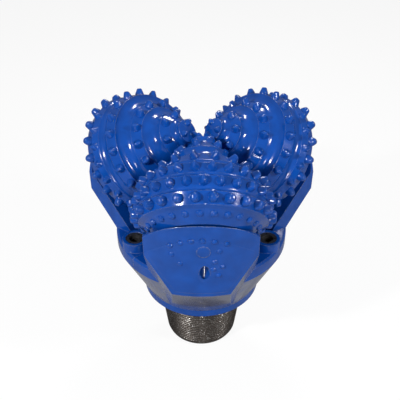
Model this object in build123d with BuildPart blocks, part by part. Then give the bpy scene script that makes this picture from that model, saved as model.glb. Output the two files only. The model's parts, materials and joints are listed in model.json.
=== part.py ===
"""Rotary drill bit with three roller cones and carbide inserts, 17 1/2 inch, on a tapered pin.

Millimetres. +Z runs from the threaded pin towards the cones, and the origin is the centre of the pin's
end face, on the bit axis. Three welded leg forgings each carry a third of the pin and shank, a journal,
a cone on rollers and retaining balls, a jet nozzle and a grease reservoir.
"""

from build123d import *
import math
import os

os.makedirs("parts", exist_ok=True)

# ---- bit body -------------------------------------------------------------------------------------
gauge_radius = 222.25        # hole radius: half of 17 1/2 inches
leg_azimuths = {"front": -90.0, "right": 30.0, "left": 150.0}
sector_start = -49.0         # each leg forging is a third of the body, split beside the jet
sector_width = 120.0

pin_length = 133.35          # regular rotary-shouldered pin, 7 5/8 size
pin_base_radius = 87.5       # plain cylinder beside the shoulder
pin_base_length = 12.7
pin_taper = 0.25             # on the diameter
thread_depth = 2.6           # the pin is modelled at the root of its thread
pin_nose_chamfer = 3.0
water_bore_radius = 47.6

shank_radius = 121.0
shank_bevel = 6.0
shank_height = 22.0          # plain band above the shoulder
body_radius = 171.0          # wall between the legs
body_wall_height = 26.0
dome_clearance = 13.5        # between the sweep of the cones and the floor under them
dome_fall = 18.0

leg_gauge_clearance = 5.25   # turned outside of each leg inside the hole wall
leg_foot_height = 284.0      # lower end of the turned face
leg_foot_half_width = 50.0
leg_half_width = 98.5
leg_corner_height = 362.0    # where the slanted lower edges meet the upright sides
leg_side_height = 400.0      # where the crown of the shirttail starts
shirttail_height = 444.0
lug_root = 86.0              # distance from the bit axis at which each lug starts

# ---- journals and cones ---------------------------------------------------------------------------
journal_angle = 36.0         # journal axis above the horizontal
apex_height = 509.0          # where the journal axes pass the bit axis
cone_offset = 3.5            # each journal axis passes beside the bit axis
leg_face = 0.9674 * gauge_radius   # journal shoulder, measured outwards along the journal axis
cone_gap = 2.0               # between the journal shoulder and the back face of the cone
heel_relief = 3.5            # heel face stands inside the hole wall
groove_depth = 0.22          # depth of a groove as a share of its width

seal_land_radius = 56.0
seal_width = 8.0
seal_gland_radius = 64.6
roller_race_radius = 44.0
roller_radius = 7.5
roller_length = 34.0
roller_count = 20
roller_start = leg_face - 52.0
ball_centre = leg_face - 66.0
ball_pitch_radius = 47.0
ball_radius = 10.5
ball_count = 12
journal_shoulder_radius = 50.0
journal_step = leg_face - 79.0
pilot_radius = 27.0
pilot_bushing_wall = 5.0
pilot_end = leg_face - 111.0
thrust_disc = 5.0
running_clearance = 0.3

# ---- small fittings -------------------------------------------------------------------------------
nozzle_azimuth = 60.0        # from the leg's own azimuth
nozzle_distance = 146.5
nozzle_rise = 18.0           # mouth of the jet above the floor under the cones
nozzle_socket_radius = 18.0
nozzle_length = 38.0
nozzle_orifice_radius = 8.0
nozzle_boss_radius = 24.5
nozzle_boss_depth = 14.0
retainer_height = 7.0
passage_radius = 8.8

reservoir_azimuth = -24.0
reservoir_distance = 78.0
reservoir_radius = 23.0
reservoir_depth = 46.0
reservoir_wall = 2.0
cap_thickness = 6.0
snap_ring_height = 3.0

plug_radius = 11.5           # plug of the ball-loading hole
plug_recess = 1.2
ball_hole_rise = 4.6         # ball-loading hole above the middle of the race

notch_radius = 9.3           # drilled relief in the leg's face
notch_offset = 5.4
notch_top = 359.0
notch_tilt = 28.0

button_radius = 5.0
button_height = 2.2
button_depth = 9.0

# Insert rows. "out" and "radius" place the tip circle, along and across the journal axis, as shares of
# the gauge radius. Then come the count, the insert's radius, its crown height, its lean towards the
# nose in degrees and the turn of the first insert.
insert_depth = 14.0
insert_sides = 8
gauge_rows = {
    "front": {"radius": 0.5687, "count": 26, "size": 9.0, "crown": 12.0, "lean": -14.0, "turn": 6.5},
    "right": {"radius": 0.5687, "count": 21, "size": 9.0, "crown": 12.0, "lean": -14.0, "turn": 0.0},
    "left": {"radius": 0.5687, "count": 22, "size": 9.0, "crown": 12.0, "lean": -14.0, "turn": 0.0},
}
heel_row = {"out": 0.9161, "count": 26, "size": 6.0, "crown": 3.0, "turn": 4.0}
nose_row = {"out": 0.108, "radius": 0.072, "count": 3, "size": 6.5, "crown": 8.0, "lean": 75.0, "turn": 30.0}
inner_rows = {
    "front": [
        {"out": 0.684, "radius": 0.5624, "count": 26, "size": 8.5, "crown": 12.0, "lean": 3.0, "turn": 0.0},
        {"out": 0.5534, "radius": 0.5287, "count": 24, "size": 8.5, "crown": 12.0, "lean": 18.0, "turn": 7.5},
        {"out": 0.3892, "radius": 0.3667, "count": 13, "size": 8.5, "crown": 12.0, "lean": 40.0, "turn": 12.0},
        {"out": 0.2182, "radius": 0.1957, "count": 6, "size": 8.0, "crown": 10.0, "lean": 47.0, "turn": 18.0},
        nose_row,
    ],
    "right": [
        {"out": 0.7469, "radius": 0.5534, "count": 21, "size": 8.5, "crown": 10.0, "lean": 2.0, "turn": 8.6},
        {"out": 0.5534, "radius": 0.5287, "count": 20, "size": 8.5, "crown": 12.0, "lean": 18.0, "turn": 0.0},
        {"out": 0.3892, "radius": 0.3667, "count": 14, "size": 8.5, "crown": 12.0, "lean": 40.0, "turn": 5.0},
        {"out": 0.2182, "radius": 0.1957, "count": 7, "size": 8.0, "crown": 10.0, "lean": 47.0, "turn": 0.0},
        dict(nose_row, turn=70.0),
    ],
    "left": [
        {"out": 0.7469, "radius": 0.5534, "count": 22, "size": 8.5, "crown": 10.0, "lean": 2.0, "turn": 8.2},
        {"out": 0.5534, "radius": 0.5287, "count": 20, "size": 8.5, "crown": 12.0, "lean": 18.0, "turn": 4.0},
        {"out": 0.3892, "radius": 0.3667, "count": 14, "size": 8.5, "crown": 12.0, "lean": 40.0, "turn": 9.0},
        {"out": 0.2182, "radius": 0.1957, "count": 7, "size": 8.0, "crown": 10.0, "lean": 47.0, "turn": 25.0},
        nose_row,
    ],
}

# ---- derived places -------------------------------------------------------------------------------
slope = math.radians(journal_angle)
pin_end_radius = pin_base_radius - (pin_length - pin_base_length) * pin_taper / 2
leg_radius = gauge_radius - leg_gauge_clearance
cone_back = leg_face - cone_gap
gauge_share = gauge_rows["front"]["radius"]
gauge_out = (1 - gauge_share * math.sin(slope)) / math.cos(slope)
cone_sweep = gauge_radius * (gauge_out * math.sin(slope) + gauge_share * math.cos(slope))
body_top = apex_height - cone_sweep - dome_clearance
water_bore_depth = body_top - 60.0
nozzle_mouth = body_top + nozzle_rise
reservoir_mouth = body_top
plug_height = apex_height - ball_centre * math.sin(slope) - ball_pitch_radius * math.cos(slope) + ball_hole_rise
plug_end = ball_centre * math.cos(slope) - ball_pitch_radius * math.sin(slope) + ball_radius + ball_hole_rise
outward = Vector(math.cos(slope), 0, -math.sin(slope))
upright = Vector(math.sin(slope), 0, math.cos(slope))
apex = Vector(0, cone_offset, apex_height)
# In this plane X is the radius from the journal axis and Y the distance outwards along it.
journal_section = Plane(origin=apex, x_dir=upright, z_dir=upright.cross(outward))
journal_axis = Axis(apex, outward)
leg_section = Plane.XZ
sector_edge = Vector(1, 0, 0).rotate(Axis.Z, sector_start)
sector_section = Plane(origin=(0, 0, 0), x_dir=sector_edge, z_dir=sector_edge.cross(Vector(0, 0, 1)))


def heel_radius(out, relief=0.0):
    """Radius of the cone where its heel face runs along the hole wall."""
    return (gauge_radius - relief - out * math.cos(slope)) / math.sin(slope)


def axis_plane(out):
    """Plane across the journal axis, facing outwards."""
    return Plane(origin=apex + outward * out, x_dir=upright, z_dir=outward)


def polar(distance, azimuth, height):
    angle = math.radians(azimuth)
    return Vector(distance * math.cos(angle), distance * math.sin(angle), height)


def write(name, solid, azimuth):
    """Turns a piece from azimuth 0 to its leg, labels it and writes it."""
    placed = solid.rotate(Axis.Z, azimuth)
    placed.label = name
    export_step(placed, f"parts/{name}.step")
    return placed


def ring_of(inner, outer, start, end):
    """Plain ring round the journal axis."""
    with BuildPart() as ring:
        with BuildSketch(axis_plane(start)):
            Circle(outer)
            if inner > 0:
                Circle(inner, mode=Mode.SUBTRACT)
        extrude(amount=end - start)
    return ring.part


# ---- leg forging ----------------------------------------------------------------------------------
def make_leg():
    with BuildPart() as leg:
        # Shank, wall between the legs and dome floor, with the pin below, as a body of revolution.
        with BuildSketch(sector_section):
            with BuildLine():
                Polyline(
                    (0, 0),
                    (pin_end_radius - thread_depth - pin_nose_chamfer, 0),
                    (pin_end_radius - thread_depth, pin_nose_chamfer),
                    (pin_base_radius - thread_depth, pin_length - pin_base_length - thread_depth),
                    (pin_base_radius, pin_length - pin_base_length),
                    (pin_base_radius, pin_length),
                    (shank_radius - shank_bevel, pin_length),
                    (shank_radius, pin_length + shank_bevel),
                    (shank_radius, pin_length + shank_height),
                    (body_radius, body_top - body_wall_height),
                    (body_radius, body_top - 4),
                    (body_radius - 4, body_top),
                    (0, body_top - dome_fall),
                    close=True,
                )
            make_face()
        revolve(axis=Axis.Z, revolution_arc=sector_width)
        # Boss of the jet.
        with BuildSketch(Plane(origin=polar(nozzle_distance, nozzle_azimuth, body_top - nozzle_boss_depth))):
            Circle(nozzle_boss_radius)
        extrude(amount=nozzle_boss_depth + nozzle_rise)
        add(make_lug())
        # Journal.
        with BuildSketch(journal_section):
            with BuildLine():
                Polyline(
                    (0, leg_face + 8),
                    (seal_land_radius, leg_face + 8),
                    (seal_land_radius, leg_face - 12),
                    (roller_race_radius, leg_face - 16),
                    (roller_race_radius, roller_start - 1),
                    (journal_shoulder_radius, roller_start - 1),
                    (journal_shoulder_radius, journal_step),
                    (pilot_radius, journal_step),
                    (pilot_radius, pilot_end),
                    (0, pilot_end),
                    close=True,
                )
            make_face()
        revolve(axis=journal_axis, revolution_arc=360)
        # Ball race half in the journal.
        with BuildSketch(journal_section):
            with Locations((ball_pitch_radius, ball_centre)):
                Circle(ball_radius + running_clearance)
        revolve(axis=journal_axis, revolution_arc=360, mode=Mode.SUBTRACT)
        # Ball-loading hole from the turned face to the race.
        with BuildSketch(Plane(origin=(leg_radius + 10, cone_offset, plug_height), z_dir=(-1, 0, 0))):
            Circle(plug_radius + running_clearance)
        extrude(amount=leg_radius + 10 - plug_end + 12, mode=Mode.SUBTRACT)
        # Waterway.
        with BuildSketch(Plane.XY):
            Circle(water_bore_radius)
        extrude(amount=water_bore_depth, mode=Mode.SUBTRACT)
        # Jet socket and the slanted passage that feeds it.
        mouth = polar(nozzle_distance, nozzle_azimuth, nozzle_mouth)
        with BuildSketch(Plane(origin=mouth, z_dir=(0, 0, -1))):
            Circle(nozzle_socket_radius)
        extrude(amount=nozzle_length + retainer_height, mode=Mode.SUBTRACT)
        passage_top = polar(nozzle_distance, nozzle_azimuth, nozzle_mouth - nozzle_length - retainer_height + 6)
        passage_foot = polar(water_bore_radius - 8, nozzle_azimuth, water_bore_depth - 46)
        run = passage_foot - passage_top
        with BuildSketch(Plane(origin=passage_top, z_dir=run)):
            Circle(passage_radius)
        extrude(amount=run.length, mode=Mode.SUBTRACT)
        # Grease reservoir pocket.
        pocket = polar(reservoir_distance, reservoir_azimuth, reservoir_mouth)
        with BuildSketch(Plane(origin=pocket, z_dir=(0, 0, -1))):
            Circle(reservoir_radius)
        extrude(amount=reservoir_depth, mode=Mode.SUBTRACT)
        # Drilled relief in the turned face.
        tilt = math.radians(notch_tilt)
        drill = Vector(-math.sin(tilt), 0, math.cos(tilt))
        notch_root = Vector(leg_radius - 9, notch_offset, notch_top - 6)
        with BuildSketch(Plane(origin=notch_root, z_dir=drill * -1)):
            Circle(notch_radius)
        extrude(amount=120, mode=Mode.SUBTRACT)
        # Seats of the wear buttons.
        for seat in button_planes():
            with BuildSketch(seat.offset(-button_depth)):
                Circle(button_radius)
            extrude(amount=button_depth + 10, mode=Mode.SUBTRACT)
    return leg.part


def make_lug():
    """Leg lug: outline from outside crossed with the side profile, then its slanted lower flanks."""
    with BuildPart() as lug:
        # Turned outside and slanted foot, as a body of revolution.
        with BuildSketch(leg_section):
            with BuildLine():
                Polyline(
                    (lug_root, pin_length + shank_height),
                    (shank_radius, pin_length + shank_height),
                    (leg_radius - 3, leg_foot_height - 2),
                    (leg_radius, leg_foot_height + 3),
                    (leg_radius, shirttail_height + 6),
                    (lug_root, shirttail_height + 6),
                    close=True,
                )
            make_face()
        revolve(axis=Axis.Z, revolution_arc=360)
        # Outline from outside.
        with BuildSketch(Plane.YZ.offset(lug_root)):
            with BuildLine():
                Polyline(
                    (leg_half_width, leg_side_height),
                    (leg_half_width, pin_length),
                    (-leg_half_width, pin_length),
                    (-leg_half_width, leg_side_height),
                )
                ThreePointArc(
                    (-leg_half_width, leg_side_height),
                    (0, shirttail_height),
                    (leg_half_width, leg_side_height),
                )
            make_face()
        extrude(amount=gauge_radius * 1.2, mode=Mode.INTERSECT)
        # Everything on the cone's side of the journal shoulder is open.
        with BuildSketch(axis_plane(leg_face)):
            Rectangle(4 * gauge_radius, 4 * gauge_radius)
        extrude(amount=-2 * gauge_radius, mode=Mode.SUBTRACT)
        # Slanted flanks from the turned face down to the shank, one on each side.
        for side in (1, -1):
            upper = Vector(math.sqrt(leg_radius**2 - leg_half_width**2), side * leg_half_width, leg_corner_height)
            lower = Vector(leg_radius - 6, side * leg_foot_half_width, leg_foot_height)
            root = Vector(shank_radius - 14, side * 60, pin_length + shank_height)
            normal = (lower - upper).cross(root - upper).normalized()
            if normal.Z > 0:
                normal = normal * -1
            with BuildSketch(Plane(origin=upper, z_dir=normal)):
                Rectangle(6 * gauge_radius, 6 * gauge_radius)
            extrude(amount=2 * gauge_radius, mode=Mode.SUBTRACT)
    return lug.part


def button_planes():
    """Planes on the turned face where the wear buttons sit, each facing outwards."""
    places = [(side, 411 - abs(side) ** 2 / 190) for side in (-52, -35, -17, 2, 22, 42)]
    places += [(-50, 379), (-36, 361), (30, 388), (22, 366), (36, 354), (20, 349), (30, 335)]
    planes = []
    for side, height in places:
        angle = math.asin(side / leg_radius)
        facing = Vector(math.cos(angle), math.sin(angle), 0)
        foot = Vector(leg_radius * facing.X, leg_radius * facing.Y, height)
        planes.append(Plane(origin=foot, z_dir=facing))
    return planes


def make_buttons():
    """Wear buttons pressed into the leg's turned face."""
    with BuildPart() as buttons:
        for seat in button_planes():
            with BuildSketch(seat.offset(-button_depth)):
                Circle(button_radius)
            extrude(amount=button_depth)
            with BuildSketch(seat):
                Circle(button_radius)
            extrude(amount=button_height, taper=40)
    return buttons.part


# ---- cone -----------------------------------------------------------------------------------------
def gauge_row(place):
    """The row whose tips cut the hole wall: its distance out follows from its radius."""
    return dict(gauge_rows[place], out=gauge_out)


def row_direction(row):
    """Radius and outward parts of the direction in which a row's inserts point."""
    lean = math.radians(row["lean"])
    return math.cos(lean), -math.sin(lean)


def land_point(row, along=0.0):
    """Point on the land under a row, moved along the land towards the back."""
    across, out = row_direction(row)
    radius = row["radius"] * gauge_radius - row["crown"] * across
    place = row["out"] * gauge_radius - row["crown"] * out
    return radius - along * out, place + along * across


def groove(start, end):
    """Hollow between two lands: an arc that dips below the straight line between them."""
    radius, place = end[0] - start[0], end[1] - start[1]
    middle = ((start[0] + end[0]) / 2 + place * groove_depth, (start[1] + end[1]) / 2 - radius * groove_depth)
    ThreePointArc(start, middle, end)


def cone_outline(place):
    """Outside of the cone shell from its back face to its nose: lands joined by hollow grooves."""
    gauge = gauge_row(place)
    corner = land_point(gauge, gauge["size"] + 2.5)
    heel_top = corner[1] + 4
    Polyline(
        (heel_radius(cone_back, heel_relief), cone_back),
        (heel_radius(heel_top, heel_relief), heel_top),
        corner,
        land_point(gauge, -gauge["size"] - 1.5),
    )
    last = land_point(gauge, -gauge["size"] - 1.5)
    for row in inner_rows[place]:
        start = land_point(row, row["size"] + 2.0)
        end = land_point(row, -row["size"] - 1.5)
        if start[1] > last[1] - 2:
            Line(last, end)
        else:
            groove(last, start)
            Line(start, end)
        last = end
    Line(last, (0, last[1] - 1))
    return last[1] - 1


def make_cone(place):
    bore = journal_shoulder_radius + running_clearance
    race = roller_race_radius + 2 * roller_radius + 2 * running_clearance
    pilot_bore = pilot_radius + pilot_bushing_wall + 2 * running_clearance
    with BuildPart() as cone:
        with BuildSketch(journal_section):
            with BuildLine():
                nose = cone_outline(place)
                Polyline(
                    (0, nose),
                    (0, pilot_end - thrust_disc - 1),
                    (pilot_bore, pilot_end - thrust_disc - 1),
                    (pilot_bore, journal_step - running_clearance),
                    (bore, journal_step - running_clearance),
                    (bore, roller_start - 1),
                    (race, roller_start - 1),
                    (race, roller_start + roller_length + 1),
                    (seal_land_radius + 1, roller_start + roller_length + 1),
                    (seal_land_radius + 1, cone_back - seal_width - 3),
                    (seal_gland_radius, cone_back - seal_width - 3),
                    (seal_gland_radius, cone_back),
                    (heel_radius(cone_back, heel_relief), cone_back),
                )
            make_face()
        revolve(axis=journal_axis, revolution_arc=360)
        # Ball race half in the cone.
        with BuildSketch(journal_section):
            with Locations((ball_pitch_radius, ball_centre)):
                Circle(ball_radius + running_clearance)
        revolve(axis=journal_axis, revolution_arc=360, mode=Mode.SUBTRACT)
    return cone.part


def insert_planes(row):
    """Plane at the foot of each insert's crown, facing the way that the insert points."""
    across, out = row_direction(row)
    planes = []
    for n in range(row["count"]):
        angle = math.radians(row["turn"] + 360 * n / row["count"])
        spoke = upright * math.cos(angle) + outward.cross(upright) * math.sin(angle)
        facing = spoke * across + outward * out
        tip = apex + (outward * row["out"] + spoke * row["radius"]) * gauge_radius
        planes.append(Plane(origin=tip - facing * row["crown"], x_dir=outward.cross(spoke), z_dir=facing))
    return planes


def make_insert(row, taper):
    """One carbide insert at the origin: a straight shank below and a tapered crown above."""
    with BuildPart() as insert:
        with BuildSketch(Plane.XY.offset(-insert_depth)):
            RegularPolygon(row["size"], insert_sides)
        extrude(amount=insert_depth)
        with BuildSketch(Plane.XY):
            RegularPolygon(row["size"], insert_sides)
        extrude(amount=row["crown"], taper=taper)
    return insert.part


def make_inserts(rows, taper):
    """Rows of carbide inserts, one solid each, none touching the next."""
    solids = []
    for row in rows:
        insert = make_insert(row, taper)
        solids += [insert.moved(Location(foot)).solid() for foot in insert_planes(row)]
    return Part(Compound(children=solids).wrapped)


def heel_inserts():
    lean = -math.degrees(math.atan2(math.cos(slope), math.sin(slope)))
    row = dict(heel_row, radius=heel_radius(heel_row["out"] * gauge_radius) / gauge_radius, lean=lean)
    return make_inserts([row], 30)


# ---- bearing --------------------------------------------------------------------------------------
def make_rollers():
    with BuildPart() as rollers:
        with BuildSketch(axis_plane(roller_start)):
            with PolarLocations(roller_race_radius + roller_radius + running_clearance, roller_count):
                Circle(roller_radius)
        extrude(amount=roller_length)
    return rollers.part


def make_balls():
    with BuildPart() as balls:
        for spot in PolarLocations(ball_pitch_radius, ball_count):
            centre = (axis_plane(ball_centre).location * spot).position
            with Locations(centre):
                Sphere(ball_radius)
    return balls.part


def make_seal():
    middle = cone_back - seal_width / 2 - 2
    thickness = (seal_gland_radius - seal_land_radius) / 2 - running_clearance
    with BuildPart() as seal:
        with BuildSketch(journal_section):
            with Locations(((seal_gland_radius + seal_land_radius) / 2, middle)):
                Circle(min(thickness, seal_width / 2))
        revolve(axis=journal_axis, revolution_arc=360)
    return seal.part


# ---- jet, reservoir and plug ----------------------------------------------------------------------
def make_nozzle():
    mouth = polar(nozzle_distance, nozzle_azimuth, nozzle_mouth)
    with BuildPart() as nozzle:
        with BuildSketch(Plane(origin=mouth - Vector(0, 0, retainer_height + nozzle_length))):
            Circle(nozzle_socket_radius - 0.2)
        extrude(amount=nozzle_length)
        with BuildSketch(Plane(origin=mouth - Vector(0, 0, retainer_height))):
            Circle(nozzle_orifice_radius)
        extrude(amount=-nozzle_length, mode=Mode.SUBTRACT)
        inlet = nozzle.faces().sort_by(Axis.Z)[0].edges().sort_by(SortBy.RADIUS)[0]
        chamfer(inlet, 8, 3)
    return nozzle.part


def make_retainer():
    mouth = polar(nozzle_distance, nozzle_azimuth, nozzle_mouth)
    with BuildPart() as retainer:
        with BuildSketch(Plane(origin=mouth - Vector(0, 0, retainer_height))):
            Circle(nozzle_socket_radius - 0.2)
            Circle(nozzle_orifice_radius + 3.5, mode=Mode.SUBTRACT)
        extrude(amount=retainer_height - 1)
        top = mouth - Vector(0, 0, 1)
        with BuildSketch(Plane(origin=top)):
            with PolarLocations(nozzle_socket_radius - 4, 4):
                Circle(2)
        extrude(amount=-3, mode=Mode.SUBTRACT)
    return retainer.part


def reservoir_piece(inner, outer, bottom, top, floor=0.0):
    """Ring or cup in the reservoir pocket, with heights measured down from its mouth."""
    mouth = polar(reservoir_distance, reservoir_azimuth, reservoir_mouth)
    with BuildPart() as piece:
        with BuildSketch(Plane(origin=mouth - Vector(0, 0, bottom))):
            Circle(outer)
        extrude(amount=bottom - top)
        if inner > 0:
            with BuildSketch(Plane(origin=mouth - Vector(0, 0, bottom - floor))):
                Circle(inner)
            extrude(amount=bottom - top, mode=Mode.SUBTRACT)
    return piece.part


def make_diaphragm():
    """Rubber boot: a thin rim over a hanging dome."""
    mouth = polar(reservoir_distance, reservoir_azimuth, reservoir_mouth)
    top = snap_ring_height + cap_thickness + 1
    cup = reservoir_radius - reservoir_wall - 0.6
    with BuildPart() as boot:
        with BuildSketch(Plane(origin=mouth, x_dir=(1, 0, 0), z_dir=(0, -1, 0))):
            with BuildLine():
                Polyline((0, -top - 24), (9, -top - 22), (cup - 5, -top - 4), (cup, -top - 4), (cup, -top),
                         (cup - 7, -top), (7, -top - 19), (0, -top - 21), close=True)
            make_face()
        revolve(axis=Axis(mouth, (0, 0, 1)), revolution_arc=360)
    return boot.part


def make_plug():
    with BuildPart() as plug:
        with BuildSketch(Plane(origin=(plug_end, cone_offset, plug_height), z_dir=(1, 0, 0))):
            Circle(plug_radius)
        extrude(amount=leg_radius - plug_recess - plug_end)
    return plug.part


# ---- assembly -------------------------------------------------------------------------------------
leg = make_leg()
buttons = make_buttons()
heel = heel_inserts()
rollers = make_rollers()
balls = make_balls()
seal = make_seal()
bushing = ring_of(pilot_radius + running_clearance, pilot_radius + pilot_bushing_wall + running_clearance,
                  pilot_end, journal_step - 1)
thrust = ring_of(0, pilot_radius - 3, pilot_end - thrust_disc - running_clearance, pilot_end - running_clearance)
nozzle = make_nozzle()
retainer = make_retainer()
reservoir_cup = reservoir_piece(reservoir_radius - reservoir_wall - 0.2, reservoir_radius - 0.2, reservoir_depth - 1,
                                snap_ring_height + cap_thickness + 1, floor=reservoir_wall)
reservoir_cap = reservoir_piece(0, reservoir_radius - 0.2, snap_ring_height + cap_thickness, snap_ring_height)
snap_ring = reservoir_piece(reservoir_radius - 4, reservoir_radius - 0.2, snap_ring_height, 0.5)
diaphragm = make_diaphragm()
plug = make_plug()

for place, azimuth in leg_azimuths.items():
    write(f"leg_{place}", leg, azimuth)
    write(f"leg_buttons_{place}", buttons, azimuth)
    write(f"cone_{place}", make_cone(place), azimuth)
    write(f"heel_inserts_{place}", heel, azimuth)
    write(f"gauge_inserts_{place}", make_inserts([gauge_row(place)], 24), azimuth)
    write(f"inner_inserts_{place}", make_inserts(inner_rows[place], 24), azimuth)
    write(f"rollers_{place}", rollers, azimuth)
    write(f"balls_{place}", balls, azimuth)
    write(f"seal_{place}", seal, azimuth)
    write(f"pilot_bushing_{place}", bushing, azimuth)
    write(f"thrust_disc_{place}", thrust, azimuth)
    write(f"nozzle_{place}", nozzle, azimuth)
    write(f"nozzle_retainer_{place}", retainer, azimuth)
    write(f"reservoir_cup_{place}", reservoir_cup, azimuth)
    write(f"diaphragm_{place}", diaphragm, azimuth)
    write(f"reservoir_cap_{place}", reservoir_cap, azimuth)
    write(f"snap_ring_{place}", snap_ring, azimuth)
    write(f"ball_plug_{place}", plug, azimuth)
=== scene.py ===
"""Looks of the roller cone drill bit: glossy blue enamel over forged legs, cones and carbide inserts,
and a dark threaded pin. Metres; +Z runs from the pin to the cones, and the bit axis is the Z axis."""

import json
import math

import bpy
import numpy as np
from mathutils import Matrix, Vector


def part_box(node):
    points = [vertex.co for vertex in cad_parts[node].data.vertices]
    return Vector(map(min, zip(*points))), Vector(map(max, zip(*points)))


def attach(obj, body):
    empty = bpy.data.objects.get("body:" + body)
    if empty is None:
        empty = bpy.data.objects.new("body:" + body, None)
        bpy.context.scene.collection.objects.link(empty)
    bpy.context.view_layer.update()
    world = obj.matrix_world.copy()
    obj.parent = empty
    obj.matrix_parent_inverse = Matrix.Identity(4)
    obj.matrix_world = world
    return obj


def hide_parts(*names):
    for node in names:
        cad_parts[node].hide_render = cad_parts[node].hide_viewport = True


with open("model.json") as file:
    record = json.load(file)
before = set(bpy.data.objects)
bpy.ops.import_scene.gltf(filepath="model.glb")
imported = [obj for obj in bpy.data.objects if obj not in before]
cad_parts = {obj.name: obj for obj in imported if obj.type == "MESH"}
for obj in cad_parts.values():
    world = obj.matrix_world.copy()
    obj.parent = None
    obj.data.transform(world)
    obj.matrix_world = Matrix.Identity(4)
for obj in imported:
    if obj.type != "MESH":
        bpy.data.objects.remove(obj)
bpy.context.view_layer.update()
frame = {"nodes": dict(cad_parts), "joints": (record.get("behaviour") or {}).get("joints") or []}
packed_nodes = frame["nodes"]

PLACES = ("front", "right", "left")
ROOT = "bit_body"
MM = 0.001

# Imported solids: how close corners and ends must be to count as one, and how near to an insert's full
# radius a corner of its crown's foot lies.
MERGE_DISTANCE = 2e-6
END_DISTANCE = 1e-5
FOOT_SHARE = 0.97

# Pin and thread. The ridge is 0 up to a short way into its turn and 1 over its blunt top.
PIN_LENGTH = 133.35 * MM
PIN_BASE_RADIUS = 87.5 * MM
PIN_TAPER = 0.25 / 2
PIN_RELIEF = 12.7 * MM
THREAD_START = 4.0 * MM
THREAD_END = 118.0 * MM
THREAD_PITCH = 6.35 * MM
THREAD_DEPTH = 2.6 * MM
THREAD_SINK = 0.4 * MM
THREAD_ROWS = 8
THREAD_SIDES = 144
RIDGE_STEEPNESS = 1.5
RIDGE_ROOT = 0.2

# Turned face of a leg, with the pad of weld overlay on it.
LEG_RADIUS = 217.0 * MM
LEG_HALF_WIDTH = 98.5 * MM
SHIRTTAIL_TOP = 444.0 * MM
SHIRTTAIL_SIDE = 400.0 * MM
LEG_FOOT = 287.0 * MM
FOOT_HALF_WIDTH = 50.0 * MM
CORNER_HEIGHT = 362.0 * MM
CROWN_DROP = 33.0 * MM
PAD_STEPS = 120
PAD_INSET = 7.0 * MM
PAD_RAMP = 3.0 * MM
PAD_LIFT = 0.8 * MM
PAD_SINK = 0.35 * MM
NOTCH_SIDE = 5.4 * MM
NOTCH_HEIGHT = 343.0 * MM
NOTCH_ROOM = 11.0 * MM
NOTCH_STRETCH = 1.7

# Weld over the ball plug: heights in millimetres, places and widths as shares of the plug's radius.
PLUG_SIDE = 3.5 * MM
PLUG_RADIUS = 11.8 * MM
WELD_RINGS = 12
WELD_SIDES = 48
WELD_HEIGHT = 0.95
WELD_REACH = 1.12
WELD_EDGE_DROP = 1.4
WELD_EDGE_WIDTH = 0.12
GROOVE_DEPTH = 0.45
GROOVE_PLACE = 0.92
GROOVE_WIDTH = 0.06

# Carbide inserts and buttons.
INSERT_RINGS = 13
INSERT_SIDES = 24
SHANK_DEPTH = 2.0 * MM
BUTTON_PAINT = 1.2 * MM

# Blue enamel.
PAINT = (0.0015, 0.062, 0.34)
PAINT_THIN = (0.11, 0.14, 0.22)
# Grey of faces turned towards the pin: partly rubbed enamel, partly a painted reflection of the floor.
PAINT_SCUFF_AND_REFLECTION = (0.23, 0.22, 0.21)
PAINT_DARKEST = 0.72
PAINT_LIGHTEST = 1.28
WEAR_SHARE = 0.6
ENAMEL_ROUGHNESS = 0.13
WORN_ROUGHNESS = 0.4
BEVEL_SAMPLES = 6

# Bare steel of the pin.
PIN_STEEL = (0.055, 0.047, 0.042)
THREAD_BRIGHT = (0.30, 0.29, 0.28)
BARE_MARGIN = 0.3 * MM
BARE_ROUGHNESS = 0.38
BARE_METALLIC = 0.85

# Studio: grey floor that glows to the camera, surround, camera and soft boxes. A soft box has its
# place, its target, its width and height, and its power.
FLOOR_HALF_SIZE = 30.0
FLOOR_GREY = (0.4, 0.4, 0.4)
FLOOR_WHITE = (0.95, 0.95, 0.95)
FLOOR_GLOW = 0.9
WORLD_LIGHT = 0.11
WORLD_TO_CAMERA = 0.93
WORLD_IN_GLOSS = 0.2
CAMERA_ELEVATION = 36.55
CAMERA_DISTANCE = 1.2273
CAMERA_TARGET = (0.0, 0.0, 0.3)
CAMERA_LENS = 54.74
CAMERA_SENSOR = 36.0
CAMERA_SHIFT = (-0.00325, 0.0415)
SOFT_BOXES = {
    "key_box": ((-1.2, -1.2, 1.5), (0, 0, 0.35), 0.14, 0.14, 31),
    "side_box": ((1.3, -0.7, 1.3), (0, 0, 0.35), 0.1, 0.4, 15),
    "rim_box": ((0.2, 1.4, 1.8), (0, 0, 0.35), 0.5, 0.12, 16),
    "front_box": ((0.12, -2.0, 0.85), (0, 0, 0.3), 0.1, 0.3, 9),
}


# ---- mesh helpers ---------------------------------------------------------------------------------
def new_piece(name, points, faces, material, body):
    """A smooth mesh object at the origin, with its place in its vertices, riding on a body."""
    mesh = bpy.data.meshes.new(name)
    mesh.from_pydata(np.asarray(points).reshape(-1, 3).tolist(), [], faces)
    mesh.polygons.foreach_set("use_smooth", [True] * len(mesh.polygons))
    mesh.update()
    piece = bpy.data.objects.new(name, mesh)
    bpy.context.scene.collection.objects.link(piece)
    mesh.materials.append(material)
    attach(piece, body)
    return piece


def grid_faces(rows, columns, closed=True):
    """Quads between neighbouring rows of a grid of points; a closed grid joins its last column to
    its first."""
    row = np.arange(rows - 1)[:, None] * columns
    column = np.arange(columns if closed else columns - 1)[None, :]
    after = (column + 1) % columns
    corners = (row + column, row + after, row + columns + after, row + columns + column)
    return np.stack(corners, axis=-1).reshape(-1, 4)


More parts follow.
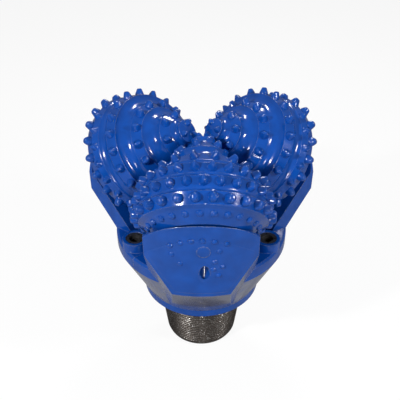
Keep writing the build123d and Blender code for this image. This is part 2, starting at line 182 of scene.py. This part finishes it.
def solids_of(node):
    """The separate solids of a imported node, each as an array of its different corner points."""
    mesh = packed_nodes[node].data
    points = np.empty(len(mesh.vertices) * 3)
    mesh.vertices.foreach_get("co", points)
    points = points.reshape(-1, 3)
    keys, index = np.unique(np.round(points / MERGE_DISTANCE).astype(np.int64), axis=0, return_inverse=True)
    index = index.ravel()
    parent = np.arange(len(keys))

    def root(k):
        while parent[k] != k:
            parent[k] = parent[parent[k]]
            k = parent[k]
        return k

    for face in mesh.polygons:
        corners = [root(index[v]) for v in face.vertices]
        for corner in corners[1:]:
            parent[root(corner)] = root(corners[0])
    groups = {}
    for k in range(len(keys)):
        groups.setdefault(root(k), []).append(k)
    return [keys[group] * MERGE_DISTANCE for group in groups.values()]


def insert_frames(node):
    """Foot, pointing direction, radius and crown height of every insert in a node.

    An insert is a prism with a tapered crown, so the spread of its corners gives its axis,
    its ring of corners nearest the middle is the crown's foot, and its narrow end is the tip."""
    frames = []
    for corners in solids_of(node):
        middle = corners.mean(axis=0)
        spread = corners - middle
        direction = np.linalg.svd(spread, full_matrices=False)[2][0]
        along = spread @ direction
        across = np.linalg.norm(spread - np.outer(along, direction), axis=1)
        widest = across.max()
        high_end = across[along > along.max() - END_DISTANCE].mean()
        low_end = across[along < along.min() + END_DISTANCE].mean()
        if high_end > low_end:
            direction = -direction
            along = -along
        tip = along.max()
        foot = along[across > FOOT_SHARE * widest].max()
        axis_offset = (spread - np.outer(along, direction)).mean(axis=0)
        frames.append((middle + axis_offset + direction * foot, direction, widest, tip - foot))
    return frames


# ---- shader groups --------------------------------------------------------------------------------
def new_group(name, inputs, outputs):
    """An empty shader node group with named sockets, its input node and its output node."""
    group = bpy.data.node_groups.new(name, "ShaderNodeTree")
    for label, kind, value in inputs:
        socket = group.interface.new_socket(label, in_out="INPUT", socket_type=kind)
        socket.default_value = value
    for label, kind in outputs:
        group.interface.new_socket(label, in_out="OUTPUT", socket_type=kind)
    start = group.nodes.new("NodeGroupInput")
    end = group.nodes.new("NodeGroupOutput")
    return group, start, end


def add_node(tree, kind, **settings):
    """A node of that kind with its settings; a number or a tuple named in_N goes on input N."""
    node = tree.nodes.new(kind)
    for key, value in settings.items():
        if key.startswith("in_"):
            node.inputs[int(key[3:])].default_value = value
        else:
            setattr(node, key, value)
    return node


def edge_wear_group():
    """Mask that is 1 along convex edges, where thick paint pulls away, broken up by noise."""
    group, start, end = new_group(
        "edge_wear",
        [("Radius", "NodeSocketFloat", 1.5 * MM), ("Breakup Scale", "NodeSocketFloat", 220.0)],
        [("Mask", "NodeSocketFloat")],
    )
    bevel = add_node(group, "ShaderNodeBevel", samples=BEVEL_SAMPLES)
    shape = group.nodes.new("ShaderNodeNewGeometry")
    same = add_node(group, "ShaderNodeVectorMath", operation="DOT_PRODUCT")
    spread = add_node(group, "ShaderNodeMapRange", in_1=1.0, in_2=0.93, in_3=0.0, in_4=1.0)
    place = group.nodes.new("ShaderNodeTexCoord")
    noise = add_node(group, "ShaderNodeTexNoise")
    breakup = add_node(group, "ShaderNodeMapRange", in_1=0.35, in_2=0.65, in_3=0.15, in_4=1.0)
    both = add_node(group, "ShaderNodeMath", operation="MULTIPLY")
    link = group.links.new
    link(start.outputs["Radius"], bevel.inputs["Radius"])
    link(bevel.outputs["Normal"], same.inputs[0])
    link(shape.outputs["True Normal"], same.inputs[1])
    link(same.outputs["Value"], spread.inputs[0])
    link(place.outputs["Object"], noise.inputs["Vector"])
    link(start.outputs["Breakup Scale"], noise.inputs["Scale"])
    link(noise.outputs["Fac"], breakup.inputs[0])
    link(spread.outputs[0], both.inputs[0])
    link(breakup.outputs[0], both.inputs[1])
    link(both.outputs[0], end.inputs["Mask"])
    return group


def enamel_surface_group():
    """Height of sprayed enamel: a fine orange peel over broad waves left by the rough forging."""
    group, start, end = new_group(
        "enamel_surface",
        [("Peel Scale", "NodeSocketFloat", 420.0), ("Wave Scale", "NodeSocketFloat", 38.0),
         ("Wave Share", "NodeSocketFloat", 0.6)],
        [("Height", "NodeSocketFloat"), ("Sag", "NodeSocketFloat")],
    )
    place = group.nodes.new("ShaderNodeTexCoord")
    peel = add_node(group, "ShaderNodeTexNoise")
    waves = add_node(group, "ShaderNodeTexNoise")
    share = add_node(group, "ShaderNodeMix")
    link = group.links.new
    link(place.outputs["Object"], peel.inputs["Vector"])
    link(place.outputs["Object"], waves.inputs["Vector"])
    link(start.outputs["Peel Scale"], peel.inputs["Scale"])
    link(start.outputs["Wave Scale"], waves.inputs["Scale"])
    link(start.outputs["Wave Share"], share.inputs["Factor"])
    link(peel.outputs["Fac"], share.inputs["A"])
    link(waves.outputs["Fac"], share.inputs["B"])
    link(share.outputs["Result"], end.inputs["Height"])
    link(waves.outputs["Fac"], end.inputs["Sag"])
    return group


def below_height_group():
    """Mask that is 1 below a height on the bit axis: the bare pin and its shoulder."""
    group, start, end = new_group(
        "below_height",
        [("Height", "NodeSocketFloat", 0.1), ("Softness", "NodeSocketFloat", 0.3 * MM)],
        [("Mask", "NodeSocketFloat")],
    )
    place = group.nodes.new("ShaderNodeTexCoord")
    parts = group.nodes.new("ShaderNodeSeparateXYZ")
    drop = add_node(group, "ShaderNodeMath", operation="SUBTRACT")
    scale = add_node(group, "ShaderNodeMath", operation="DIVIDE", use_clamp=True)
    link = group.links.new
    link(place.outputs["Object"], parts.inputs[0])
    link(start.outputs["Height"], drop.inputs[0])
    link(parts.outputs["Z"], drop.inputs[1])
    link(drop.outputs[0], scale.inputs[0])
    link(start.outputs["Softness"], scale.inputs[1])
    link(scale.outputs[0], end.inputs["Mask"])
    return group


def scuff_and_reflection_mask_group():
    """Mask of greyed enamel on faces that look towards the pin, broken up by streaky noise: partly rubbed
    paint and partly a painted reflection of the floor in the gloss.
    """
    group, start, end = new_group(
        "underside_scuff_and_reflection",
        [("Facing", "NodeSocketFloat", 0.18), ("Streak Scale", "NodeSocketFloat", 60.0)],
        [("Mask", "NodeSocketFloat")],
    )
    place = group.nodes.new("ShaderNodeTexCoord")
    parts = group.nodes.new("ShaderNodeSeparateXYZ")
    down = add_node(group, "ShaderNodeMath", operation="MULTIPLY", in_1=-1.0)
    past = add_node(group, "ShaderNodeMath", operation="SUBTRACT")
    steep = add_node(group, "ShaderNodeMath", operation="MULTIPLY", in_1=5.0, use_clamp=True)
    noise = add_node(group, "ShaderNodeTexNoise")
    broken = add_node(group, "ShaderNodeMapRange", in_1=0.3, in_2=0.7, in_3=0.62, in_4=1.0)
    both = add_node(group, "ShaderNodeMath", operation="MULTIPLY")
    link = group.links.new
    link(place.outputs["Normal"], parts.inputs[0])
    link(parts.outputs["Z"], down.inputs[0])
    link(down.outputs[0], past.inputs[0])
    link(start.outputs["Facing"], past.inputs[1])
    link(past.outputs[0], steep.inputs[0])
    link(place.outputs["Object"], noise.inputs["Vector"])
    link(start.outputs["Streak Scale"], noise.inputs["Scale"])
    link(noise.outputs["Fac"], broken.inputs[0])
    link(steep.outputs[0], both.inputs[0])
    link(broken.outputs[0], both.inputs[1])
    link(both.outputs[0], end.inputs["Mask"])
    return group


def metal_flecks_group():
    """Mask of bright rubbed flecks on dark steel, and the fine grain under them."""
    group, start, end = new_group(
        "metal_flecks",
        [("Fleck Scale", "NodeSocketFloat", 520.0), ("Grain Scale", "NodeSocketFloat", 900.0),
         ("Share", "NodeSocketFloat", 0.58)],
        [("Mask", "NodeSocketFloat"), ("Grain", "NodeSocketFloat")],
    )
    place = group.nodes.new("ShaderNodeTexCoord")
    flecks = add_node(group, "ShaderNodeTexNoise")
    grain = add_node(group, "ShaderNodeTexNoise")
    above = add_node(group, "ShaderNodeMath", operation="SUBTRACT")
    sharpen = add_node(group, "ShaderNodeMath", operation="MULTIPLY", in_1=9.0, use_clamp=True)
    link = group.links.new
    link(place.outputs["Object"], flecks.inputs["Vector"])
    link(place.outputs["Object"], grain.inputs["Vector"])
    link(start.outputs["Fleck Scale"], flecks.inputs["Scale"])
    link(start.outputs["Grain Scale"], grain.inputs["Scale"])
    link(flecks.outputs["Fac"], above.inputs[0])
    link(start.outputs["Share"], above.inputs[1])
    link(above.outputs[0], sharpen.inputs[0])
    link(sharpen.outputs[0], end.inputs["Mask"])
    link(grain.outputs["Fac"], end.inputs["Grain"])
    return group


EDGE_WEAR = edge_wear_group()
METAL_FLECKS = metal_flecks_group()
ENAMEL_SURFACE = enamel_surface_group()
BELOW_HEIGHT = below_height_group()
UNDERSIDE_SCUFF_AND_REFLECTION = scuff_and_reflection_mask_group()


def use_group(tree, group, **values):
    """A group node in a material, with values for its named inputs."""
    node = add_node(tree, "ShaderNodeGroup", node_tree=group)
    for key, value in values.items():
        node.inputs[key.replace("_", " ")].default_value = value
    return node


def new_material(name, color, roughness, metallic=0.0, gloss=0.5):
    """A material with its principled shader; colour, roughness and metallic may be linked later."""
    material = bpy.data.materials.new(name)
    material.use_nodes = True
    shader = material.node_tree.nodes["Principled BSDF"]
    shader.inputs["Base Color"].default_value = (*color, 1.0)
    shader.inputs["Roughness"].default_value = roughness
    shader.inputs["Metallic"].default_value = metallic
    shader.inputs["Specular IOR Level"].default_value = gloss
    material.diffuse_color = (*color, 1.0)
    return material, material.node_tree, shader


def mix_color(tree, mask, first, second):
    """Blend of two colours by a mask; either colour may be a socket."""
    node = add_node(tree, "ShaderNodeMix", data_type="RGBA")
    tree.links.new(mask, node.inputs["Factor"])
    for socket, value in ((node.inputs[6], first), (node.inputs[7], second)):
        if isinstance(value, tuple):
            socket.default_value = (*value, 1.0)
        else:
            tree.links.new(value, socket)
    return node.outputs[2]


def mix_value(tree, mask, first, second):
    """Blend of two numbers by a mask."""
    node = add_node(tree, "ShaderNodeMapRange", in_1=0.0, in_2=1.0)
    tree.links.new(mask, node.inputs[0])
    for index, value in ((3, first), (4, second)):
        if isinstance(value, (int, float)):
            node.inputs[index].default_value = value
        else:
            tree.links.new(value, node.inputs[index])
    return node.outputs[0]


def shaded(color, factor):
    """A colour made darker or lighter by a factor."""
    return tuple(factor * channel for channel in color)


def add_bump(tree, shader, height, strength, distance):
    """Relief on a shader from the socket that gives its height."""
    bump = add_node(tree, "ShaderNodeBump")
    bump.inputs["Strength"].default_value = strength
    bump.inputs["Distance"].default_value = distance
    tree.links.new(height, bump.inputs["Height"])
    tree.links.new(bump.outputs["Normal"], shader.inputs["Normal"])
    return bump


def enamel(name, bevel_radius, wave_share, wave_scale=38.0, scuff_and_reflection=0.0, bare_below=None):
    """Thick glossy blue enamel, thinner and greyer along edges. A piece with a scuff share, which must be
    one that doesn't turn, gets greyed undersides: partly rubbed paint and partly a painted reflection of the
    floor.
    Below the height bare_below the steel is bare."""
    material, tree, shader = new_material(name, PAINT, ENAMEL_ROUGHNESS)
    wear = use_group(tree, EDGE_WEAR, Radius=bevel_radius)
    surface = use_group(tree, ENAMEL_SURFACE, Wave_Share=wave_share, Wave_Scale=wave_scale)
    darkest, lightest = shaded(PAINT, PAINT_DARKEST), shaded(PAINT, PAINT_LIGHTEST)
    color = mix_color(tree, surface.outputs["Sag"], darkest, lightest)
    worn = add_node(tree, "ShaderNodeMath", operation="MULTIPLY", in_1=WEAR_SHARE)
    tree.links.new(wear.outputs["Mask"], worn.inputs[0])
    color = mix_color(tree, worn.outputs[0], color, PAINT_THIN)
    # Painted reflection of the floor together with rubbed paint: faces turned towards the pin go grey.
    if scuff_and_reflection:
        scuff_and_reflection_mask = use_group(tree, UNDERSIDE_SCUFF_AND_REFLECTION)
        scuff_and_reflection_share = add_node(tree, "ShaderNodeMath", operation="MULTIPLY", in_1=scuff_and_reflection)
        tree.links.new(scuff_and_reflection_mask.outputs["Mask"], scuff_and_reflection_share.inputs[0])
        color = mix_color(tree, scuff_and_reflection_share.outputs[0], color, PAINT_SCUFF_AND_REFLECTION)
    roughness = mix_value(tree, wear.outputs["Mask"], ENAMEL_ROUGHNESS, WORN_ROUGHNESS)
    if bare_below is not None:
        bare = use_group(tree, BELOW_HEIGHT, Height=bare_below)
        color = mix_color(tree, bare.outputs["Mask"], color, PIN_STEEL)
        roughness = mix_value(tree, bare.outputs["Mask"], roughness, BARE_ROUGHNESS)
        metallic = mix_value(tree, bare.outputs["Mask"], 0.0, BARE_METALLIC)
        tree.links.new(metallic, shader.inputs["Metallic"])
    bevel = add_node(tree, "ShaderNodeBevel", samples=BEVEL_SAMPLES)
    bevel.inputs["Radius"].default_value = bevel_radius
    bump = add_bump(tree, shader, surface.outputs["Height"], 0.3, 0.6 * MM)
    tree.links.new(bevel.outputs["Normal"], bump.inputs["Normal"])
    tree.links.new(color, shader.inputs["Base Color"])
    tree.links.new(roughness, shader.inputs["Roughness"])
    return material


def plain_finish(name, color, roughness, metallic, grain_scale, grain_depth):
    """Machined or moulded finish: its colour with a fine grain in roughness and relief."""
    material, tree, shader = new_material(name, color, roughness, metallic)
    place = tree.nodes.new("ShaderNodeTexCoord")
    grain = add_node(tree, "ShaderNodeTexNoise")
    grain.inputs["Scale"].default_value = grain_scale
    tree.links.new(place.outputs["Object"], grain.inputs["Vector"])
    add_bump(tree, shader, grain.outputs["Fac"], 0.4, grain_depth)
    rough = mix_value(tree, grain.outputs["Fac"], roughness * 0.8, roughness * 1.2)
    tree.links.new(rough, shader.inputs["Roughness"])
    shade = mix_color(tree, grain.outputs["Fac"], shaded(color, 0.85), shaded(color, 1.12))
    tree.links.new(shade, shader.inputs["Base Color"])
    return material


def thread_finish():
    """Dark phosphated thread, rubbed bright in small flecks."""
    material, tree, shader = new_material("thread_steel", PIN_STEEL, 0.35, 0.9)
    flecks = use_group(tree, METAL_FLECKS)
    color = mix_color(tree, flecks.outputs["Mask"], PIN_STEEL, THREAD_BRIGHT)
    tree.links.new(color, shader.inputs["Base Color"])
    tree.links.new(mix_value(tree, flecks.outputs["Mask"], 0.40, 0.26), shader.inputs["Roughness"])
    add_bump(tree, shader, flecks.outputs["Grain"], 0.7, 0.25 * MM)
    return material


# The leg's undersides are greyed: partly rubbed paint, partly a painted reflection of the floor.
LEG_ENAMEL = enamel("leg_enamel", 2.5 * MM, 0.7, scuff_and_reflection=0.68, bare_below=PIN_LENGTH + BARE_MARGIN)
CONE_ENAMEL = enamel("cone_enamel", 2.0 * MM, 0.5)
INSERT_ENAMEL = enamel("insert_enamel", 0.5 * MM, 0.3, wave_scale=160.0)
THREAD_STEEL = thread_finish()
BEARING_STEEL = plain_finish("bearing_steel", (0.60, 0.60, 0.61), 0.25, 1.0, 1200.0, 0.02 * MM)
BEARING_BRONZE = plain_finish("bearing_bronze", (0.62, 0.42, 0.20), 0.35, 1.0, 900.0, 0.02 * MM)
JET_CARBIDE = plain_finish("jet_carbide", (0.06, 0.06, 0.065), 0.4, 0.6, 1500.0, 0.03 * MM)
SEAL_RUBBER = plain_finish("seal_rubber", (0.015, 0.015, 0.015), 0.6, 0.0, 700.0, 0.05 * MM)

NODE_FINISH = {
    "leg": LEG_ENAMEL,
    "cone": CONE_ENAMEL,
    "leg_buttons": INSERT_ENAMEL,
    "heel_inserts": INSERT_ENAMEL,
    "gauge_inserts": INSERT_ENAMEL,
    "inner_inserts": INSERT_ENAMEL,
    "ball_plug": CONE_ENAMEL,
    "reservoir_cap": CONE_ENAMEL,
    "nozzle": JET_CARBIDE,
    "nozzle_retainer": JET_CARBIDE,
    "snap_ring": BEARING_STEEL,
    "rollers": BEARING_STEEL,
    "balls": BEARING_STEEL,
    "seal": SEAL_RUBBER,
    "diaphragm": SEAL_RUBBER,
    "pilot_bushing": BEARING_BRONZE,
    "thrust_disc": BEARING_BRONZE,
    "reservoir_cup": BEARING_STEEL,
}


def finish_nodes():
    """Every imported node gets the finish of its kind."""
    for kind, material in NODE_FINISH.items():
        for place in PLACES:
            node = packed_nodes[f"{kind}_{place}"]
            node.data.materials.clear()
            node.data.materials.append(material)


# ---- carbide inserts ------------------------------------------------------------------------------
def rounded(value, power):
    """A quarter arch: 1 at 0, falling to 0 at 1, blunter as the power grows."""
    return np.clip(1.0 - value ** power, 0.0, 1.0) ** (1.0 / power)


def dome_profile(share):
    """Half widths of a round-topped button: a semicircle's, stretched to the button's height."""
    width = rounded(share, 2.0)
    return width, width


def leaning_profile(share, collar, flank_lean, end_lean, power):
    """Half widths that stay upright as far as the collar, then lean in by a share of the radius across
    the flanks and across the ends, with a blunt arch of that power on top."""
    lean = np.clip((share - collar) / (1.0 - collar), 0.0, 1.0)
    cap = rounded(share, power)
    return (1.0 - flank_lean * lean) * cap, (1.0 - end_lean * lean) * cap


def chisel_profile(share):
    """Half widths of a chisel insert: its flanks close in to a crest, and its ends close in far less."""
    return leaning_profile(share, 0.12, 0.70, 0.30, 7.0)


def gauge_profile(share):
    """Half widths of a stubby gauge insert: slightly leaning sides under a rounder arch."""
    return leaning_profile(share, 0.15, 0.42, 0.26, 4.5)


def insert_surfaces(frames, axis, profile):
    """Points and faces of a row of inserts: rings round each insert's axis whose two half widths follow
    the profile, from a short shank sunk in the cone up to the tip, closed by one point."""
    feet, directions, radii, heights = (np.array(part) for part in zip(*frames))
    sides = np.cross(directions, axis)
    sides /= np.linalg.norm(sides, axis=1)[:, None]
    across = np.cross(directions, sides)
    share = np.concatenate([[0.0], np.sin(np.linspace(0.0, math.pi / 2, INSERT_RINGS))[:-1]])
    angle = np.linspace(0.0, 2 * math.pi, INSERT_SIDES, endpoint=False)
    thin, wide = profile(share)
    ring = np.stack([thin[:, None] * np.cos(angle), wide[:, None] * np.sin(angle)], axis=-1)
    lift = np.multiply.outer(heights, share)
    lift[:, 0] = -SHANK_DEPTH
    rim = (radii[:, None, None, None] * (ring[None, :, :, 0, None] * sides[:, None, None, :]
                                         + ring[None, :, :, 1, None] * across[:, None, None, :]))
    grid = feet[:, None, None, :] + lift[:, :, None, None] * directions[:, None, None, :] + rim
    tips = feet + directions * heights[:, None]
    points = np.concatenate([grid.reshape(len(frames), -1, 3), tips[:, None, :]], axis=1)
    quads = grid_faces(len(share), INSERT_SIDES)
    last = (len(share) - 1) * INSERT_SIDES
    column = np.arange(INSERT_SIDES)
    tip = np.full(INSERT_SIDES, last + INSERT_SIDES)
    fan = np.stack([last + column, last + (column + 1) % INSERT_SIDES, tip], axis=-1)
    first = np.arange(len(frames))[:, None, None] * points.shape[1]
    return points, (quads + first).reshape(-1, 4).tolist() + (fan + first).reshape(-1, 3).tolist()


def insert_row(kind, place, profile, axis, paint_build_up=0.0):
    """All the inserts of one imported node, with their crests in line with the axis, and a little taller
    where thick paint stands on them."""
    frames = [(foot, direction, radius, height + paint_build_up)
              for foot, direction, radius, height in insert_frames(f"{kind}_{place}")]
    points, faces = insert_surfaces(frames, axis, profile)
    body = ROOT if kind == "leg_buttons" else f"cone_{place}_body"
    piece = new_piece(f"{kind}_crowns_{place}", points, faces, INSERT_ENAMEL, body)
    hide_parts(f"{kind}_{place}")


# ---- leg face -------------------------------------------------------------------------------------
def turned(points, azimuth):
    """Points turned about the bit axis from the leg at azimuth 0 to their own leg."""
    angle = math.radians(azimuth)
    turn = np.array(((math.cos(angle), -math.sin(angle), 0),
                     (math.sin(angle), math.cos(angle), 0),
                     (0, 0, 1)))
    return points @ turn.T


def smooth_step(value):
    """0 below 0, 1 above 1, and a smooth rise between."""
    value = np.clip(value, 0.0, 1.0)
    return value * value * (3 - 2 * value)


def on_leg_face(side, height, lift):
    """Points on the leg's turned face, at a distance round it and up it, lifted off it by a little."""
    angle = np.arcsin(side / LEG_RADIUS)
    radius = LEG_RADIUS + lift
    return np.stack([radius * np.cos(angle), radius * np.sin(angle), height], axis=-1)


def hardface_pad(place, azimuth):
    """Raised pad of weld overlay on the turned face. It is a patch of the leg's cylinder, lifted by a smooth
    step where it lies inside its outline: an arc below the crown, upright sides, slanted lower corners and
    an oval opening round the drilled notch."""
    side, height = np.meshgrid(np.linspace(-LEG_HALF_WIDTH, LEG_HALF_WIDTH, PAD_STEPS),
                               np.linspace(LEG_FOOT - PAD_INSET, SHIRTTAIL_TOP, PAD_STEPS))
    crown = SHIRTTAIL_TOP - CROWN_DROP - (SHIRTTAIL_TOP - SHIRTTAIL_SIDE) * (side / LEG_HALF_WIDTH) ** 2
    slant = (CORNER_HEIGHT - LEG_FOOT) / (LEG_HALF_WIDTH - FOOT_HALF_WIDTH)
    corner = (height - LEG_FOOT - slant * (np.abs(side) - FOOT_HALF_WIDTH)) / math.hypot(1, slant)
    notch = np.hypot(side - NOTCH_SIDE, (height - NOTCH_HEIGHT) / NOTCH_STRETCH) - NOTCH_ROOM
    edge = np.minimum.reduce([crown - height, LEG_HALF_WIDTH - np.abs(side) - PAD_INSET, corner - PAD_INSET,
                              height - LEG_FOOT - PAD_INSET, notch])
    raised = smooth_step(edge / PAD_RAMP + 0.5)
    points = on_leg_face(side, height, PAD_LIFT * raised - PAD_SINK).reshape(-1, 3)
    quads = grid_faces(PAD_STEPS, PAD_STEPS, closed=False)
    quads = quads[(raised.ravel()[quads] > 0.0).any(axis=1)]
    used, numbers = np.unique(quads, return_inverse=True)
    new_piece(f"hardface_pad_{place}", turned(points[used], azimuth), numbers.reshape(-1, 4).tolist(),
              LEG_ENAMEL, ROOT)


def plug_weld(place, azimuth, height):
    """Ground weld over the ball plug: a disc on the leg's cylinder with a shallow ring near its rim."""
    share, angle = np.meshgrid(np.linspace(WELD_REACH, 0.0, WELD_RINGS),
                               np.linspace(0.0, 2 * math.pi, WELD_SIDES, endpoint=False), indexing="ij")
    groove = GROOVE_DEPTH * np.exp(-((share - GROOVE_PLACE) / GROOVE_WIDTH) ** 2)
    edge = WELD_EDGE_DROP * smooth_step((share - 1.0) / WELD_EDGE_WIDTH)
    lift = (WELD_HEIGHT - groove - edge) * MM
    side = PLUG_SIDE + PLUG_RADIUS * share * np.cos(angle)
    up = height + PLUG_RADIUS * share * np.sin(angle)
    points = on_leg_face(side, up, lift).reshape(-1, 3)
    centre = (WELD_RINGS - 1) * WELD_SIDES
    faces = grid_faces(WELD_RINGS - 1, WELD_SIDES).tolist()
    inner = centre - WELD_SIDES
    faces += [(inner + j, inner + (j + 1) % WELD_SIDES, centre) for j in range(WELD_SIDES)]
    new_piece(f"plug_weld_{place}", turned(points[:centre + 1], azimuth), faces,
              LEG_ENAMEL, ROOT)


# ---- pin thread -----------------------------------------------------------------------------------
def ridge_height(phase):
    """Height of the thread's ridge at a phase of its turn: a blunt V."""
    ramp = 1.0 - np.abs(2.0 * (phase % 1.0) - 1.0)
    return np.clip(RIDGE_STEEPNESS * ramp - RIDGE_ROOT, 0.0, 1.0)


def make_thread():
    """Thread round the pin: a sleeve on the taper that runs into the plain cylinder beside the shoulder,
    sunk a little, plus a ridge that climbs one pitch a turn and fades in and out over the first and the
    last turn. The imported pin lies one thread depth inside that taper, so the sleeve stands off it."""
    rows = int((THREAD_END - THREAD_START) / THREAD_PITCH * THREAD_ROWS)
    height, angle = np.meshgrid(np.linspace(THREAD_START, THREAD_END, rows),
                                np.linspace(0.0, 2 * math.pi, THREAD_SIDES, endpoint=False), indexing="ij")
    fade = np.clip(np.minimum(height - THREAD_START, THREAD_END - height) / THREAD_PITCH, 0.0, 1.0)
    taper = PIN_BASE_RADIUS - (PIN_LENGTH - PIN_RELIEF - height) * PIN_TAPER
    ridge = ridge_height(height / THREAD_PITCH - angle / (2 * math.pi))
    radius = taper - THREAD_SINK + THREAD_DEPTH * ridge * fade
    points = np.stack([radius * np.cos(angle), radius * np.sin(angle), height], axis=-1)
    new_piece("pin_thread", points, grid_faces(rows, THREAD_SIDES).tolist(),
              THREAD_STEEL, ROOT)


# ---- studio ---------------------------------------------------------------------------------------
def direction_to_euler(aim):
    """Euler angles that point an object's -Z along a direction."""
    return Vector(aim).to_track_quat("-Z", "Y").to_euler()


def soft_light(name, place, target, width, height, power):
    """A rectangular soft box that faces its target."""
    data = bpy.data.lights.new(name, "AREA")
    data.shape = "RECTANGLE"
    data.size = width
    data.size_y = height
    data.energy = power
    light = bpy.data.objects.new(name, data)
    light.location = place
    aim = np.array(target) - np.array(place)
    light.rotation_euler = direction_to_euler(aim)
    bpy.context.scene.collection.objects.link(light)


def make_floor():
    """Plain floor that glows nearly white to the camera and is a dull grey to every other ray, so it
    throws little haze on the paint."""
    size = FLOOR_HALF_SIZE
    mesh = bpy.data.meshes.new("studio_floor")
    corners = [(-size, -size, 0), (size, -size, 0), (size, size, 0), (-size, size, 0)]
    mesh.from_pydata(corners, [], [(0, 1, 2, 3)])
    floor = bpy.data.objects.new("studio_floor", mesh)
    bpy.context.scene.collection.objects.link(floor)
    material, tree, shader = new_material("floor_white", FLOOR_GREY, 0.9, gloss=0.0)
    rays = tree.nodes.new("ShaderNodeLightPath")
    shade = mix_color(tree, rays.outputs["Is Camera Ray"], FLOOR_GREY, FLOOR_WHITE)
    tree.links.new(shade, shader.inputs["Base Color"])
    glow = add_node(tree, "ShaderNodeEmission", in_1=1.0)
    share = mix_value(tree, rays.outputs["Is Camera Ray"], 0.0, FLOOR_GLOW)
    blend = tree.nodes.new("ShaderNodeMixShader")
    tree.links.new(share, blend.inputs[0])
    tree.links.new(shader.outputs[0], blend.inputs[1])
    tree.links.new(glow.outputs[0], blend.inputs[2])
    tree.links.new(blend.outputs[0], tree.nodes["Material Output"].inputs["Surface"])
    mesh.materials.append(material)


def make_world():
    """White studio surround: nearly full white to the camera, dim as a light, and in gloss a share of
    the way from dim to white."""
    world = bpy.data.worlds.new("studio")
    bpy.context.scene.world = world
    world.use_nodes = True
    tree = world.node_tree
    background = tree.nodes["Background"]
    background.inputs["Color"].default_value = (1.0, 1.0, 1.0, 1.0)
    rays = tree.nodes.new("ShaderNodeLightPath")
    gloss = add_node(tree, "ShaderNodeMath", operation="MULTIPLY", in_1=WORLD_IN_GLOSS)
    seen = add_node(tree, "ShaderNodeMath", operation="MAXIMUM")
    level = mix_value(tree, seen.outputs[0], WORLD_LIGHT, WORLD_TO_CAMERA)
    tree.links.new(rays.outputs["Is Glossy Ray"], gloss.inputs[0])
    tree.links.new(rays.outputs["Is Camera Ray"], seen.inputs[0])
    tree.links.new(gloss.outputs[0], seen.inputs[1])
    tree.links.new(level, background.inputs["Strength"])


def make_camera():
    """Camera in front of the bit, looking down at it."""
    data = bpy.data.cameras.new("camera")
    camera = bpy.data.objects.new("camera", data)
    elevation = math.radians(CAMERA_ELEVATION)
    target = np.array(CAMERA_TARGET)
    place = target + CAMERA_DISTANCE * np.array((0.0, -math.cos(elevation), math.sin(elevation)))
    camera.location = place
    camera.rotation_euler = direction_to_euler(target - place)
    data.lens = CAMERA_LENS
    data.sensor_width = CAMERA_SENSOR
    data.shift_x, data.shift_y = CAMERA_SHIFT
    bpy.context.scene.collection.objects.link(camera)
    bpy.context.scene.camera = camera


finish_nodes()
for joint in frame["joints"]:
    place = joint["name"].split("_")[1]
    spin_axis = np.array(joint["axis"])
    insert_row("heel_inserts", place, dome_profile, spin_axis)
    insert_row("gauge_inserts", place, gauge_profile, spin_axis)
    insert_row("inner_inserts", place, chisel_profile, spin_axis)
    insert_row("leg_buttons", place, dome_profile, np.array((0.0, 0.0, 1.0)), BUTTON_PAINT)
    leg_azimuth = math.degrees(math.atan2(spin_axis[1], spin_axis[0]))
    plug_low, plug_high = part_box(f"ball_plug_{place}")
    hardface_pad(place, leg_azimuth)
    plug_weld(place, leg_azimuth, (plug_low[2] + plug_high[2]) / 2)
make_thread()
make_floor()
make_world()
make_camera()
for box_name, box in SOFT_BOXES.items():
    soft_light(box_name, *box)

bpy.context.scene.view_settings.view_transform = "Standard"
